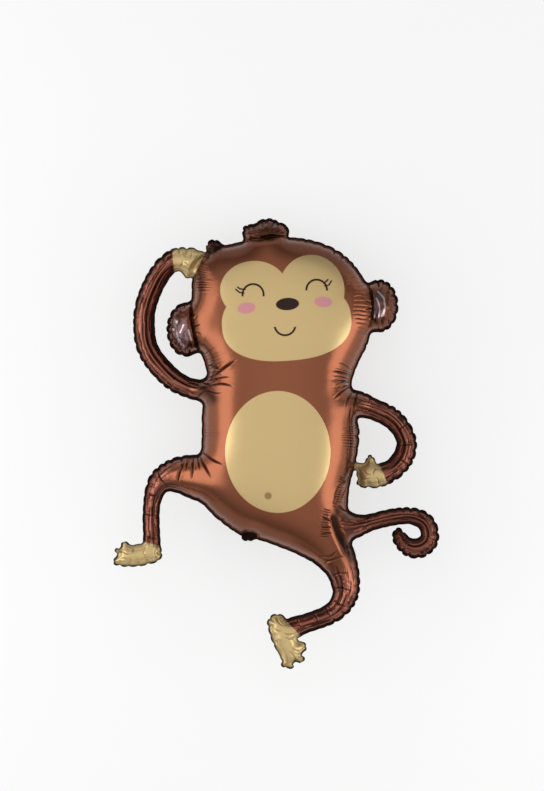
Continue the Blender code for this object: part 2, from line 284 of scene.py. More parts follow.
# Sharp valleys between the body and what is puffed up beside it: path (x, y), depth and half width.
VALLEY_FADE = 0.85
VALLEYS = [
    ([(-128, 152), (-135, 172), (-141, 198), (-144, 226), (-145, 248)], 6.5, 4.2),
    ([(153, 188), (163, 205), (167, 232), (163, 258), (157, 280)], 6.5, 4.2),
    ([(-62, 345), (-42, 349), (-26, 349), (-10, 354), (24, 355)], 6.0, 4.4),
    ([(-119, 321), (-106, 330), (-90, 339)], 5.0, 4.0),
    ([(-141, 282), (-137, 296), (-129, 311)], 5.0, 3.4),
    ([(137, -36), (138, -50), (137, -62)], 4.0, 3.0),
    ([(98, -122), (101, -138), (107, -156), (116, -174), (127, -194)], 6.0, 12.0),
    ([(130, 62), (128, 34), (129, 0), (126, -28), (121, -56)], 3.0, 4.6),
]

# Folds that run along a limb: its name, the spine points they span, the way off the spine (positive to the
# left of it), depth and half width.
LIMB_FOLDS = [
    ("raised_arm", (1, 13), -6.5, 4.6, 8.0),
    ("raised_arm", (3, 12), 2.5, 2.2, 3.6),
    ("hip_arm", (1, 9), -6.5, 4.4, 8.0),
    ("hip_arm", (1, 8), 3.0, 2.6, 3.8),
    ("hip_arm", (0, 4), 9.5, 3.0, 4.4),
    ("bent_leg", (5, 10), 4.5, 3.8, 6.0),
    ("bent_leg", (6, 10), -4.0, 2.4, 3.2),
    ("stretched_leg", (2, 10), -8.0, 4.2, 6.6),
    ("stretched_leg", (4, 9), 4.0, 2.6, 4.0),
    ("tail", (0, 15), -5.0, 4.2, 7.0),
    ("tail", (0, 10), 3.0, 3.0, 4.2),
    ("tail", (0, 4), 9.0, 2.8, 4.0),
]
FOLD_WANDER = 2.2
FOLD_WANDER_PITCH = 45.0
FOLD_FADE = 0.8

# Pleats that run in from a rounded edge: middle, outer and inner reach, first and last angle in degrees, and
# how many.
PLEATS = [
    ((-154, 195), (31, 44), (15, 23), 95, 285, 13),
    ((179, 236), (30, 43), (13, 21), -95, 95, 13),
    ((-154, 195), (25, 36), (8, 10), -62, 62, 6),
    ((179, 236), (25, 36), (8, 10), 118, 242, 6),
    ((-18, 358), (34, 24), (10, 4), 5, 175, 10),
]
PLEAT_DEPTH = 3.0
PLEAT_HALF_WIDTH = 2.6
PLEAT_FADE = 0.4

# Short rungs across a line: the line (x, y), the pitch, the half length, the depth and the half width.
LADDERS = [
    ([(115, -58), (110, -80), (103, -108)], 4.6, 4.8, 2.6, 2.0),
    ([(91, -114), (87, -136), (85, -160)], 4.8, 9.0, 0.9, 2.4),
    ([(-120, 306), (-124, 284), (-125, 262)], 5.2, 8.0, 1.0, 2.4),
]

# Where the fine puckers are strongest: middle, reach.
PUCKER_SPOTS = [
    ((-124, 284), 34),
    ((152, 258), 48),
    ((116, 110), 28),
    ((-112, 110), 26),
    ((134, 10), 30),
]

# Level puckers on the head beside the hip side's ear: middle, reach (x, y), pitch, depth and fanning out.
EAR_PUCKERS = ((148, 240), (18, 52), 3.9, 1.15, 0.18)

# Where neighbours differ by more turns of the puckers than this, the puckers stop.
PUCKER_JUMP = 1.5

# Bands of painted shade where parts join and in hollows: path (x, y), half width and share.
DARK_BANDS = [
    ([(105, -116), (104, -130), (107, -146), (114, -164), (125, -182), (131, -198)], 8.0, 0.9),
    ([(135, -118), (120, -124), (110, -134)], 7.0, 0.75),
    ([(-122, 92), (-112, 84), (-105, 76)], 9.0, 0.85),
    ([(-115, 74), (-121, 60), (-125, 44)], 4.0, 0.7),
    ([(146, 72), (134, 62), (133, 40)], 6.0, 0.75),
    ([(-114, 106), (-124, 96), (-134, 88)], 5.0, 0.6),
    ([(122, -58), (124, -84), (126, -108)], 4.5, 0.6),
]

# Painted shade on hair, ears and limb roots, and the valve tab's own dark (the third): middle, reach, share.
DARK_SPOTS = [
    ((-18, 368), 42, 0.72),
    ((-105, 336), 24, 0.95),
    ((-46, -157), 22, 0.95),
    ((-154, 195), 50, 0.45),
    ((179, 236), 50, 0.50),
    ((126, -140), 30, 0.60),
    ((137, 74), 22, 0.50),
    ((-126, 92), 20, 0.45),
    ((108, -205), 30, 0.30),
    ((245, -158), 52, 0.42),
    ((180, -132), 50, 0.34),
]

# Painted shade on slim limbs, and inside the edge of the body: on the crown from one height to another, and
# on the low side, which starts past a slanting line and ends before the stretched leg.
LIMB_SHADE = 0.08
EDGE_SHADE = 0.55
EDGE_REACH = (14, 52)
CROWN_HEIGHT = (255, 315)
LOW_SHARE = 0.6
LOW_SLANT = 0.45
LOW_SIDE = (95, 135)
LOW_END = (40, 90)

# Colours, linear. The grazing tint is that of the film's gloss where it is seen edge on.
BROWN = (0.238, 0.081, 0.042)
# Painted light: the film's brown painted lighter and redder on slim limbs.
LIMB_PAINTED_LIGHT_BROWN = (0.310, 0.108, 0.071)
TAN = (0.565, 0.413, 0.19)
DARK_INK = (0.022, 0.009, 0.007)
CHEEK = (0.575, 0.25, 0.27)
NAVEL = (0.29, 0.19, 0.075)
EAR_LINING = (0.17, 0.10, 0.105)
# Painted highlights in the ears.
EAR_PAINTED_HIGHLIGHT = (0.78, 0.62, 0.62)
GRAZING_TINT = (0.84, 0.76, 0.73)
# Near-black of the painted shade, and the valve mark's own dark.
SHADE_AND_VALVE_BROWN = (0.009, 0.004, 0.0035)

# The print's shapes in the drawing's millimetres. Ellipses are (middle, radii) or (middle, radii, tilt). Eyes
# and mouth are (middle, radius, height where the arc ends). Highlights painted in the ears are (path, half
# width).
FACE_LOBES = [((-36.3, 261.5), (57.9, 49.9)), ((61.5, 260.0), (56.4, 62.0))]
MUZZLE = ((19.0, 206.6), (110.3, 65.7))
MUZZLE_TILT = 0.078
MUZZLE_POWER = 2.4
BELLY = ((4.0, -14.4), (89.7, 103.8))
NAVEL_SPOT = ((-12.6, -89.0), (6.1, 6.1))
NOSE = ((20.4, 237.3), (19.8, 10.6))
NOSE_TILT = 0.06
CHEEKS = [((-49.5, 230.6), (15.6, 9.5), 0.12), ((81.5, 241.2), (15.6, 9.2), -0.05)]
EYES = [((-38.2, 253.5), 18.0, 250.5), ((70.2, 261.5), 17.6, 260.5)]
MOUTH = ((16.2, 201.9), 17.7, 198.5)
LASHES = [
    [(-51.9, 262.5), (-60.5, 263.3), (-64.5, 266.4)],
    [(-53.8, 256.0), (-61.4, 257.3), (-67.5, 262.5)],
    [(82.4, 274.0), (86.1, 276.0), (89.5, 279.5)],
    [(84.1, 268.5), (91.3, 270.3), (95.4, 277.2)],
]
LINE_HALF = 1.75
LASH_HALF = 0.75 * LINE_HALF
EAR_LININGS = [((-160, 192), (13, 24), 0.15), ((176, 238), (8, 26), -0.08)]
EAR_PAINTED_HIGHLIGHTS = [
    ([(-171, 209), (-172.5, 196), (-169, 183)], 3.6),
    ([(-169, 183), (-163, 173), (-156, 166)], 2.6),
    ([(-157, 202), (-163, 190)], 1.2),
    ([(-149, 194), (-144, 177)], 1.1),
    ([(175.5, 259), (184.5, 248), (187, 235), (182.5, 218)], 1.5),
    ([(172.5, 248), (178.5, 234), (176.5, 217)], 1.1),
    ([(168.5, 240), (169.5, 215)], 0.9),
]

# Tan hands and feet: half planes (a spot on the edge, the way into the hand) inside a disc (middle, reach).
TAN_ENDS = [
    ([((-176, 315), (1, 0.05)), ((-131, 306), (-0.89, 0.45))], (-150, 312), 40),
    ([((184, -49), (-1, -0.45)), ((138, -33), (1, -0.8)), ((136, -50), (1, 0.05))], (160, -50), 38),
    ([((-213, -173), (-0.25, -1))], (-240, -190), 52),
    ([((26, -313), (-1, -0.95))], (20, -345), 55),
]
TAN_END_BLEND = 10

# The valve's dark mark, and the share of it past which the film isn't welded flat.
VALVE_MARK = ((-46.5, -161.0), (16.5, 8.5), 0.05)
VALVE_FLAT = 1.12

# The layer that holds the print's coordinates is in metres, shifted to stay above zero.
PRINT_SHIFT = 0.5

# The ragged edge of the ears' lining: the scale of its noise and its reach in millimetres.
RAGGED_SCALE = 0.13
RAGGED_REACH = 11

# The material's fine folds: how much shade is painted into puckers and streaks, how deep streaks are, their
# scale along the outline and across it, and where their noise turns to painted shade.
PUCKER_SHADE = 0.65
STREAK_SHADE = 0.88
STREAK_DEPTH = 1.8
STREAK_SCALE = (0.12, 0.27)
STREAK_LEVEL = 0.455
STREAK_SOFT = 0.04

# The gloss of brown film, tan film and weld (metallic share and roughness), what folds add, and the grain.
BROWN_METAL, TAN_METAL = 0.96, 0.60
BROWN_ROUGHNESS, TAN_ROUGHNESS = 0.27, 0.35
FOLD_ROUGHNESS = 0.06
GRAIN_SCALE = 0.16
GRAIN_HEIGHT = 0.09
WELD_SCALE = 0.08
WELD_METAL = 0.7
WELD_ROUGHNESS = 0.45

# Values kept at the film's points: the share of painted shade, the fine puckers' phase and depth, the way in
# from the outline, the share of lengthwise streaks and the share of the brown painted lighter and redder on
# limbs.
FILM_VALUES = ("shade", "pucker_phase", "pucker_depth", "way_in", "streaks", "limb")
FRONT_SEED, BACK_SEED = 1.7, 9.2

# The picture's frame: its middle in the drawing and its height at the level of the weld, in millimetres.
PICTURE_MIDDLE = (-6.9, 83.0)
PICTURE_HEIGHT = 1368.0
CAMERA_HEIGHT = 8000.0
SENSOR = 36.0
CAMERA_REACH = 20.0

# The floor, in metres, and its faint grain between two greys.
FLOOR_SIZE = 12.0
FLOOR_GRAIN = 40.0
FLOOR_GREYS = (0.27, 0.28)
FLOOR_ROUGHNESS = 0.9
FLOOR_GLOW = 0.645

# Light: the room's strength at the horizon and overhead, and a soft box on each side, in metres.
ROOM_LOW, ROOM_HIGH = 0.24, 1.08
BOXES = [
    ("left_box", (-1.5, 0.05, 0.65), (1.7, 1.08), 14.2),
    ("right_box", (1.5, -0.40, 0.56), (1.2, 0.95), 9.8),
]
BOX_AIM_HEIGHT = 0.1


def smooth_path(points, step, closed=False):
    """Points along the Catmull-Rom curve through the given ones, about a step apart."""
    knots = np.array(points, float)
    if closed:
        before, after = knots[-1:], knots[:2]
    else:
        before, after = 2 * knots[:1] - knots[1:2], 2 * knots[-1:] - knots[-2:-1]
    padded = np.vstack([before, knots, after])
    path = []
    for a, b, c, d in zip(padded, padded[1:], padded[2:], padded[3:]):
        count = max(2, math.ceil(np.hypot(*(c - b)[:2]) / step))
        for t in np.arange(count) / count:
            path.append(b + 0.5 * t * (c - a + t * (2 * a - 5 * b + 4 * c - d + t * (3 * (b - c) + d - a))))
    return np.array(path if closed else path + [knots[-1]])


def nearest_on(path, points, closed=False):
    """Each point's nearest spot on the polyline: (distance, number of its stretch, share along it)."""
    nearest = np.full(len(points), np.inf)
    stretch = np.zeros(len(points), int)
    share = np.zeros(len(points))
    for i, (a, b) in enumerate(zip(path, np.roll(path, -1, axis=0) if closed else path[1:])):
        step = b - a
        t = np.clip((points - a) @ step / (step @ step), 0, 1)
        distance = np.hypot(*(points - a - t[:, None] * step).T)
        closer = distance < nearest
        nearest[closer] = distance[closer]
        stretch[closer] = i
        share[closer] = t[closer]
    return nearest, stretch, share


def inside_path(points, path):
    """Whether each point is inside the closed polyline, by counting crossings."""
    x, y = points.T
    odd = np.zeros(len(points), bool)
    for (ax, ay), (bx, by) in zip(path, np.roll(path, -1, axis=0)):
        if ay != by:
            odd ^= ((ay > y) != (by > y)) & (x < ax + (y - ay) * (bx - ax) / (by - ay))
    return odd


def inside_loops(points, loops):
    """Whether each point is inside an odd number of the loops."""
    return np.sum([inside_path(points, loop) for loop in loops], axis=0) % 2 == 1


def outline_body(points):
    """Signed distance to the outline of head and trunk alone, positive inside."""
    body = smooth_path(BODY_OUTLINE, SPINE_STEP, closed=True)
    distance = nearest_on(body, points, closed=True)[0]
    return np.where(inside_path(points, body), distance, -distance)


def outline_field(points):
    """Signed distance to the whole figure's outline, negative inside, with fillets where shapes join."""

    def melt(first, second, fillet):
        overlap = np.maximum(fillet - np.abs(first - second), 0) / fillet
        return np.minimum(first, second) - overlap**2 * fillet / 4

    def stroke(spine):
        nearest = np.full(len(points), np.inf)
        for x, y, half_width in smooth_path(spine, SPINE_STEP):
            nearest = np.minimum(nearest, np.hypot(points[:, 0] - x, points[:, 1] - y) - half_width)
        return nearest

    field = -outline_body(points)
    for middle, half_size in EARS.values():
        scaled = (points - middle) / half_size
        field = melt(field, (np.hypot(*scaled.T) - 1) * min(half_size), EAR_FILLET)
    for spine in LIMBS.values():
        field = melt(field, stroke(spine), LIMB_FILLET)
    for spine in SMALL_STROKES.values():
        field = melt(field, stroke(spine), SMALL_FILLET)
    return field


def trace_outline():
    """Closed loops round the figure: a grid is lifted by the field and cut where it crosses zero."""
    spines = [*LIMBS.values(), *SMALL_STROKES.values()]
    points = np.array([point[:2] for spine in spines for point in spine])
    low = points.min(axis=0) - GRID_BORDER
    high = points.max(axis=0) + GRID_BORDER
    counts = np.ceil((high - low) / GRID_STEP).astype(int)
    grid = bmesh.new()
    bmesh.ops.create_grid(grid, x_segments=counts[0], y_segments=counts[1], size=0.5)
    corners = np.array([v.co[:2] for v in grid.verts])
    corners = low + (corners + 0.5) * counts * GRID_STEP
    for vertex, corner, value in zip(grid.verts, corners, outline_field(corners)):
        vertex.co = (*corner, value)
    everything = grid.verts[:] + grid.edges[:] + grid.faces[:]
    bmesh.ops.bisect_plane(grid, geom=everything, plane_co=(0, 0, 0), plane_no=(0, 0, 1), clear_outer=True)
    following = {}
    for edge in grid.edges:
        if edge.is_boundary:
            corner = edge.link_loops[0]
            following[corner.vert] = corner.link_loop_next.vert
    loops = []
    while following:
        vertex = next(iter(following))
        loop = []
        while vertex in following:
            loop.append(vertex.co[:2])
            vertex = following.pop(vertex)
        loops.append(np.array(loop))
    grid.free()
    return loops


def evenly_spaced(loop, step):
    """The closed loop's points moved to equal spacing, about a step."""
    ring = np.vstack([loop, loop[:1]])
    travelled = np.concatenate([[0], np.cumsum(np.hypot(*np.diff(ring, axis=0).T))])
    marks = np.linspace(0, travelled[-1], max(8, round(travelled[-1] / step)), endpoint=False)
    return np.stack([np.interp(marks, travelled, ring[:, axis]) for axis in (0, 1)], axis=1)


def inward_normals(loop):
    """Unit normals of a loop that has the figure on its left."""
    tangent = np.roll(loop, -1, axis=0) - np.roll(loop, 1, axis=0)
    tangent /= np.hypot(*tangent.T)[:, None]
    return np.stack([-tangent[:, 1], tangent[:, 0]], axis=1)


def left_normals(path):
    """Unit normals on the left of an open path."""
    normals = np.gradient(path, axis=0)[:, ::-1] * (-1, 1)
    return normals / np.hypot(*normals.T)[:, None]


def loop_edges(loops):
    """Pairs of neighbours round each loop, numbered as the points of all loops laid end to end."""
    pairs = []
    first = 0
    for loop in loops:
        pairs += [(first + i, first + (i + 1) % len(loop)) for i in range(len(loop))]
        first += len(loop)
    return pairs


def sheet_points(loops, creases):
    """Points over the figure: the outline's own, rings along the weld, and a lattice over the rest."""
    edges = [evenly_spaced(loop, EDGE_STEP) for loop in loops]

    def clearance(points):
        return np.min([nearest_on(loop, points, closed=True)[0] for loop in edges], axis=0)

    near_creases = crease_points(creases)
    near_creases = near_creases[inside_loops(near_creases, edges)]
    near_creases = near_creases[clearance(near_creases) > WELD_WIDTH + CREASE_ROOM]

    def away_from_creases(points):
        room = np.full(len(points), np.inf)
        for crease in near_creases:
            room = np.minimum(room, np.hypot(*(points - crease).T))
        return points[room > CREASE_ROOM]

    groups = [near_creases]
    for inset in RING_INSETS:
        for loop in edges:
            ring = loop + inward_normals(loop) * inset
            ring = ring[clearance(ring) > inset - RING_SLACK]
            groups.append(away_from_creases(ring) if inset > WELD_WIDTH else ring)
    low = np.min([loop.min(axis=0) for loop in edges], axis=0)
    high = np.max([loop.max(axis=0) for loop in edges], axis=0)
    rows = np.arange(low[1], high[1], LATTICE_STEP * math.sqrt(0.75))
    columns = np.arange(low[0], high[0], LATTICE_STEP)
    lattice = np.array([(x + (i % 2) * LATTICE_STEP / 2, y) for i, y in enumerate(rows) for x in columns])
    lattice = lattice[inside_loops(lattice, edges)]
    groups.append(away_from_creases(lattice[clearance(lattice) > LATTICE_MARGIN]))
    return edges, np.vstack(groups)


def all_creases():
    """Every crease as (path, depth, half width, share of its length where it starts to fade)."""
    creases = [(smooth_path(path, CREASE_STEP), *cut, CREASE_FADE) for path, *cut in CREASES]
    for limb, (first, last), off, *cut in LIMB_FOLDS:
        spine = smooth_path(LIMBS[limb][first : last + 1], CREASE_STEP)[:, :2]
        wander = along(np.arange(len(spine)) * CREASE_STEP, FOLD_WANDER_PITCH, off)
        track = spine + left_normals(spine) * (off + FOLD_WANDER * wander)[:, None]
        creases.append((track, *cut, FOLD_FADE))
    creases += [(smooth_path(path, CREASE_STEP), *cut, VALLEY_FADE) for path, *cut in VALLEYS]
    for middle, outer, inner, first, last, count in PLEATS:
        for i, angle in enumerate(np.radians(np.linspace(first, last, count))):
            way = np.array([math.cos(angle), math.sin(angle)])
            ends = [middle + way * outer, middle + way * (inner if i % 2 else np.add(outer, inner) / 2)]
            creases.append((smooth_path(ends, CREASE_STEP), PLEAT_DEPTH, PLEAT_HALF_WIDTH, PLEAT_FADE))
    for line, pitch, half_length, *cut in LADDERS:
        track = smooth_path(line, pitch)
        for spot, way in zip(track, left_normals(track) * half_length):
            creases.append((smooth_path([spot - way, spot + way], CREASE_STEP), *cut, CREASE_FADE))
    return creases


def crease_points(creases):
    """Closely set points along each crease and on both sides of it, so that its valley comes out sharp."""
    rows = [track + left_normals(track) * offset for track, *_ in creases for offset in CREASE_OFFSETS]
    kept = {}
    for point in np.vstack(rows):
        kept.setdefault(tuple(np.round(point / CREASE_GRID).astype(int)), point)
    return np.array(list(kept.values()))


def triangulate(edges, inner):
    """Triangles over the figure: (points, triangles)."""
    corners = [Vector(point) for point in np.vstack([*edges, inner])]
    result = delaunay_2d_cdt(corners, loop_edges(edges), [], 1, MERGE_DISTANCE)
    points = np.array([v[:] for v in result[0]])
    triangles = np.array([face for face in result[2] if len(face) == 3])
    return points, triangles[inside_loops(points[triangles].mean(axis=1), edges)]


def membrane(points, triangles, fixed):
    """A soap film's height over the figure under the pressure, zero where fixed, by conjugate gradients."""
    count = len(points)
    first, second, weights = [], [], []
    load = np.zeros(count)
    for k in range(3):
        a, b, c = triangles[:, k], triangles[:, (k + 1) % 3], triangles[:, (k + 2) % 3]
        to_a, to_b = points[a] - points[c], points[b] - points[c]
        doubled_area = np.abs(to_a[:, 0] * to_b[:, 1] - to_a[:, 1] * to_b[:, 0])
        first.append(a)
        second.append(b)
        weights.append((to_a * to_b).sum(axis=1) / doubled_area / 2)
        load += np.bincount(c, PRESSURE * doubled_area / 6, count)
    first, second, weights = (np.concatenate(part) for part in (first, second, weights))
    diagonal = np.bincount(first, weights, count) + np.bincount(second, weights, count)
    free = ~fixed

    def pull(value):
        across = np.bincount(first, weights * value[second], count)
        across += np.bincount(second, weights * value[first], count)
        return np.where(free, diagonal * value - across, 0)

    height = np.zeros(count)
    residual = np.where(free, load, 0)
    scaled = residual / diagonal
    step = scaled.copy()
    strength = residual @ scaled
    start = strength
    while strength > SOLVED_SHARE * start:
        pulled = pull(step)
        share = strength / (step @ pulled)
        height += share * step
        residual -= share * pulled
        scaled = residual / diagonal
        strength, previous = residual @ scaled, strength
        step = scaled + strength / previous * step
    return height


def blown_up_height(points, triangles, fixed):
    """Height of one sheet over the weld: slim parts are round tubes and broad ones shallower domes."""
    height = np.sqrt(np.maximum(membrane(points, triangles, fixed), 0) / 2)
    below_neck = np.clip((NECK_Y - points[:, 1]) / NECK_BLEND, -1, 1)
    return height / np.sqrt(1 + (height / DEPTH_LIMIT) ** 2) * (1 + BELLY_SHARE * below_neck)


def on_the_weld(points, loops):
    """For each point, the nearest spot on the outline: (distance, way travelled along it, its turn there).

    The turn is in radians a millimetre, positive where the outline bulges out.
    """
    nearest = np.full(len(points), np.inf)
    travelled = np.zeros(len(points))
    turn = np.zeros(len(points))
    start = 0.0
    for loop in loops:
        lengths = np.hypot(*(np.roll(loop, -1, axis=0) - loop).T)
        starts = start + np.cumsum(lengths) - lengths
        normals = inward_normals(loop)
        ahead = np.roll(normals, -TURN_REACH, axis=0)
        behind = np.roll(normals, TURN_REACH, axis=0)
        sideways = behind[:, 0] * ahead[:, 1] - behind[:, 1] * ahead[:, 0]
        bend = np.arctan2(sideways, (behind * ahead).sum(axis=1)) / (2 * TURN_REACH * lengths.mean())
        distance, stretch, share = nearest_on(loop, points, closed=True)
        closer = distance < nearest
        nearest = np.where(closer, distance, nearest)
        travelled = np.where(closer, starts[stretch] + share * lengths[stretch], travelled)
        turn = np.where(closer, bend[stretch], turn)
        start += lengths.sum() + LOOP_GAP
    return nearest, travelled, turn


def noise_at(points, size, seed):
    """Smooth noise between about -1 and 1, with features of that size."""
    return np.array([noise.noise((x / size + seed, y / size - seed, seed)) for x, y in points])


def along(value, size, seed):
    """Smooth noise that follows one coordinate."""
    return np.array([noise.noise((v / size, seed, 0.5)) for v in value])


def rise(value, low, high):
    """0 below low, 1 above high and smooth between."""
    share = np.clip((value - low) / (high - low), 0, 1)
    return share * share * (3 - 2 * share)


def valley(phase):
    """1 in a narrow valley at each whole phase, 0 on the broad ridge between."""
    return (1 - np.abs(np.sin(math.pi * phase))) ** 1.6


def nearness(points, middle, full, gone, reach=1.0):
    """1 round the middle up to the full share of the reach, 0 from the gone share on and smooth between."""
    return 1 - rise(np.hypot(*((points - np.array(middle)) / reach).T), full, gone)


def scallop_phase(travelled):
    """Whole numbers where the weld's scallops meet."""
    return travelled / SCALLOP_PITCH + 0.45 * along(travelled, WANDER_PITCH, 1)


def crease_grooves(points, creases):
    """The creases at each point: (how deep they cut, nearness to their bottom line from 0 to 1, for painted
    shade).
    """
    depth = np.zeros(len(points))
    line = np.zeros(len(points))
    for track, deepest, half_width, fade in creases:
        near = np.flatnonzero(np.hypot(*(points - track.mean(axis=0)).T) < CREASE_STEP * len(track) + 20)
        off, stretch, share = nearest_on(track, points[near])
        share = (stretch + share) / (len(track) - 1)
        taper = rise(share, -0.08, 0.12) * (1 - rise(share, fade, 1.0) ** 1.5)
        width = CREASE_WIDTH * half_width * (0.5 + 0.5 * taper)
        groove = np.exp(-off / (0.8 * width)) - 0.3 * np.exp(-(((off - 2.1 * width) / width) ** 2))
        depth[near] += CREASE_DEPTH * deepest * taper * groove
        line[near] = np.maximum(line[near], taper**0.6 * np.exp(-((off / (CREASE_LINE * width)) ** 2)))
    return depth, line


def vertex_normals(places, triangles):
    a, b, c = (places[triangles[:, k]] for k in range(3))
    normals = np.zeros_like(places)
    for k in range(3):
        np.add.at(normals, triangles[:, k], np.cross(b - a, c - a))
    return normals / np.maximum(np.linalg.norm(normals, axis=1), 1e-12)[:, None]


def inside_tan_ends(points):
    """1 on hands and feet, 0 elsewhere and soft between."""
    result = np.zeros(len(points))
    for planes, middle, reach in TAN_ENDS:
        inner = nearness(points, middle, reach, reach + TAN_END_BLEND)
        for start, way in planes:
            inner = inner * rise((points - start) @ np.array(way) / np.hypot(*way), -3, 6)
        result = np.maximum(result, inner)
    return result


def drawn_in(points, height, body_distance):
    """The smooth film's places, with its height drawn in where ears, hair and hands join the body."""
    kept = np.ones(len(points))
    for middle, reach, loss in PINCHES.values():
        near = nearness(points, middle, 0.75, 1.2, reach)
        kept *= 1 - loss * near * np.exp(-((body_distance / PINCH_WIDTH) ** 2))
    return np.column_stack([points, height * kept])


def rumples(points, on_body, in_hand, seed):
    """Unevenness in millimetres: ridges on ears, hair, hands and feet, and a little slack everywhere."""
    on_limb = 1 - on_body
    ears = [nearness(points, middle, 0.7, 1.0, half_size) for middle, half_size in EARS.values()]
    on_ear = on_limb * np.maximum.reduce(ears)
    on_hair = on_limb * nearness(points, HAIR_MIDDLE, 0.8, 1.1, HAIR_REACH)
    ridges = 0.5 - np.abs(noise_at(points, 17, seed + 3)) - 0.7 * np.abs(noise_at(points, 9, seed + 4))
    upright = 0.4 - np.abs(noise_at(points * (1.0, 0.36), 8, seed + 6))
    level = 0.4 - np.abs(noise_at(points * (0.42, 1.0), 9, seed + 8))
    crumpled = (1.2 * in_hand + 2.2 * on_ear) * ridges + 4.4 * on_ear * upright + 5.0 * on_hair * level
    body_slack = 0.9 * noise_at(points, 60, seed + 2) + 0.25 * noise_at(points, 22, seed + 5)
    return crumpled + 0.4 * on_limb * noise_at(points, 21, seed + 1) + on_body * body_slack


def dark_places(points, body_distance):
    """Share of painted shade where limbs, ears and hair leave the body, with the valve tab's own dark (see
    DARK_SPOTS and DARK_BANDS).
    """
    spots = [share * nearness(points, middle, 0.5, 1.0, reach) for middle, reach, share in DARK_SPOTS]
    shade = np.maximum.reduce(spots) * rise(-body_distance, -18, 0)
    for path, half_width, share in DARK_BANDS:
        away = nearest_on(smooth_path(path, CREASE_STEP), points)[0]
        shade = np.maximum(shade, share * np.exp(-((away / half_width) ** 2)))
    return shade


def dark_edges(points, distance):
    """Share of painted shade on the crown and on the trunk's low side, which fades inwards."""
    x, y = points.T
    low_side = LOW_SHARE * rise(-y - LOW_SLANT * x, *LOW_SIDE) * (1 - rise(x, *LOW_END))
    return EDGE_SHADE * np.maximum(rise(y, *CROWN_HEIGHT), low_side) * (1 - rise(distance, *EDGE_REACH))


def dark_weld(distance, travelled, bulge, on_limb, in_hand):
    """Painted shade along the weld's rim: it widens to beads on the limbs and is thin round hands and feet.
    """
    beads = 0.5 - 0.5 * np.cos(2 * math.pi * scallop_phase(travelled))
    wide = on_limb * (0.65 + 0.6 * bulge * (beads - 0.3))
    rim = 1.0 - (0.6 - 0.5 * wide) * rise(distance, 2.4 + 2.6 * wide, 6.0 + 1.2 * wide)
    hand_bead = 1.4 * bulge * beads
    hand_rim = 1.0 - 0.95 * rise(distance, 1.3 + hand_bead, 4.0 + hand_bead)
    past = rise(distance, WELD_WIDTH - 0.5 + wide, WELD_WIDTH + 1.2 + 1.8 * wide)
    return (rim + (hand_rim - rim) * in_hand) * (1 - past)


def fine_puckers(points, travelled, inside, on_body, long_ones, seed):
    """Puckers too fine for the facets, drawn by the material as bump and painted shade: (phase, depth)."""
    gathers = [nearness(points, middle, 0.5, 1.0, reach) for middle, reach in PUCKER_SPOTS]
    gathered = np.maximum.reduce(gathers)
    phase = travelled / PUCKER_PITCH + 0.9 * along(travelled, WANDER_PITCH, seed)
    reach = 6 + 9 * long_ones * (1 + 0.8 * along(travelled, 9, seed + 3)) + 18 * gathered
    depth = on_body * (0.75 + 0.6 * long_ones + 1.2 * gathered) * np.exp(-inside / reach)
    depth *= 1 - rise(inside, 20, 36)

    middle, ear_reach, pitch, ear_depth, fan = EAR_PUCKERS
    beside_ear = on_body * nearness(points, middle, 0.65, 1.1, ear_reach)
    fanned = points[:, 1] - fan * points[:, 0] * (points[:, 1] - middle[1]) / ear_reach[1]
    uneven = 0.35 * noise_at(points, 14, seed + 9)
    phase = np.where(beside_ear > 0.03, fanned / pitch + uneven, phase)
    depth = np.where(beside_ear > 0.03, ear_depth * beside_ear * (0.7 + 2 * np.abs(uneven)), depth)
    return phase, depth + (1 - on_body) * (0.3 + 0.5 * long_ones) * np.exp(-inside / 6)


